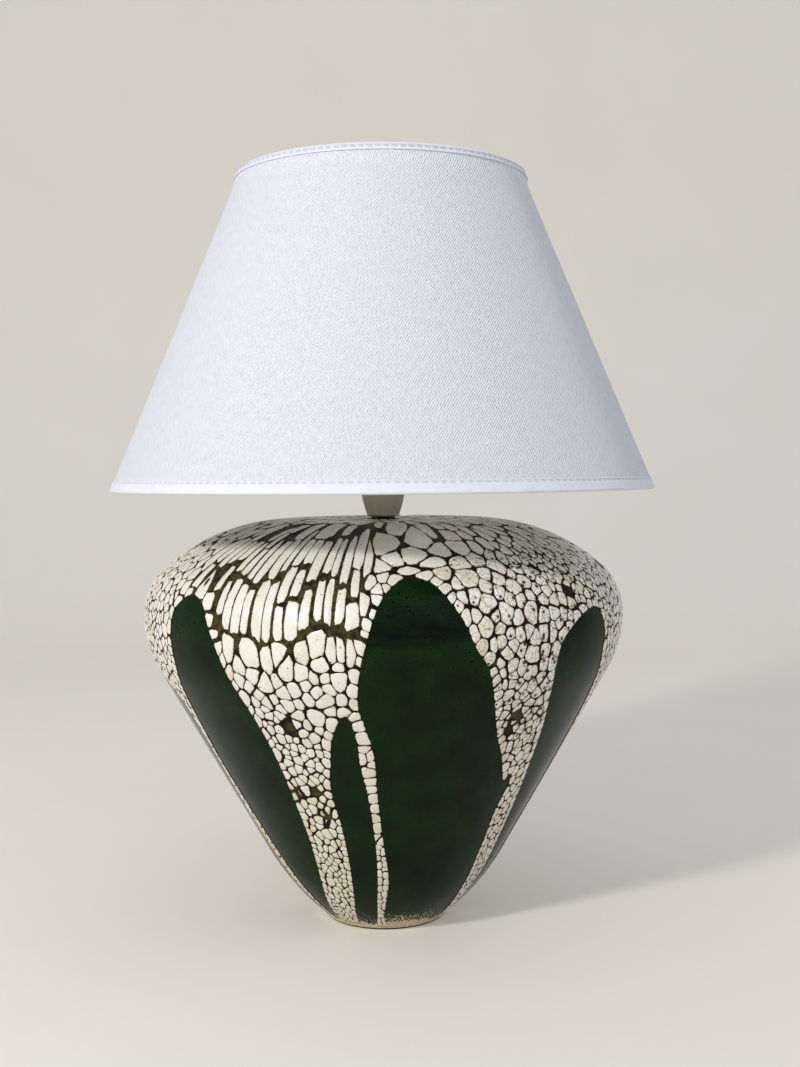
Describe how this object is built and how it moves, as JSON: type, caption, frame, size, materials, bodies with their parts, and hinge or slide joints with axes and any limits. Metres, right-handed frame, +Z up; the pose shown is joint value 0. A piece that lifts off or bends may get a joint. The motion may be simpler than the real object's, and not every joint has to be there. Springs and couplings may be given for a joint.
{
  "type": "table lamp",
  "caption": "Table lamp: narrow-footed domed stoneware vessel with a screw lampholder clamped on top, a bulb and a tapered fabric shade that turns on it.",
  "frame": {"origin": "on the table under the middle of the foot", "axes": "+Z up along the lamp's axis, +Y towards the back, where the cable inlet is"},
  "size_m": [0.3999, 0.4, 0.5502],
  "materials": {
    "glazed_stoneware": "glossy crawled glaze over dark clay",
    "felt": "pressed wool",
    "rubber": "matte",
    "zinc_steel": "zinc plated",
    "brass": "machined",
    "vulcanised_fibre": "matte",
    "holder_plastic": "satin moulded",
    "porcelain": "unglazed white",
    "contact_bronze": "spring strip",
    "white_wire": "powder coated",
    "liner_film": "matte film",
    "shade_cotton": "twill weave",
    "binding_cotton": "fine plain weave",
    "opal_plastic": "opal satin",
    "bulb_white": "smooth moulded",
    "aluminium": "pressed sheet",
    "circuit_board": "solder resist",
    "nickel_cap": "nickel plated",
    "black_insulator": "glassy"
  },
  "bodies": {
    "base": {"ceramic_body": "glazed_stoneware", "felt_pad": "felt", "lower_gasket": "rubber", "clamp_washer": "zinc_steel", "lower_nut": "brass", "threaded_rod": "zinc_steel", "fibre_washer": "vulcanised_fibre", "upper_nut": "brass", "cable_grommet": "rubber", "holder_cap": "holder_plastic", "cap_grub_screw": "zinc_steel", "holder_sleeve": "holder_plastic", "holder_core": "porcelain", "screw_shell": "brass", "centre_contact": "contact_bronze", "side_contact": "contact_bronze", "terminal_blocks": "brass", "terminal_screws": "zinc_steel"},
    "ring": {"shade_ring": "holder_plastic"},
    "shade": {"fitter_ring": "white_wire", "fitter_arm_1": "white_wire", "fitter_arm_2": "white_wire", "fitter_arm_3": "white_wire", "lower_wire": "white_wire", "upper_wire": "white_wire", "shade_liner": "liner_film", "shade_cover": "shade_cotton", "lower_binding": "binding_cotton", "upper_binding": "binding_cotton"},
    "bulb": {"bulb_globe": "opal_plastic", "bulb_housing": "bulb_white", "led_plate": "aluminium", "driver_board": "circuit_board", "bulb_screw_cap": "nickel_cap", "bulb_insulator": "black_insulator", "bulb_contact": "nickel_cap"}
  },
  "joints": [
    {"name": "shade_turn", "type": "hinge", "parent": "base", "child": "shade", "pos_m": [0, 0, 0.3365], "axis": [0, 0, 1], "continuous": true},
    {"name": "ring_turn", "type": "hinge", "parent": "base", "child": "ring", "pos_m": [0, 0, 0.342], "axis": [0, 0, 1], "continuous": true},
    {"name": "bulb_out", "type": "slide", "parent": "base", "child": "bulb", "axis": [0, 0, 1], "range_m": [0, 0.13]}
  ]
}
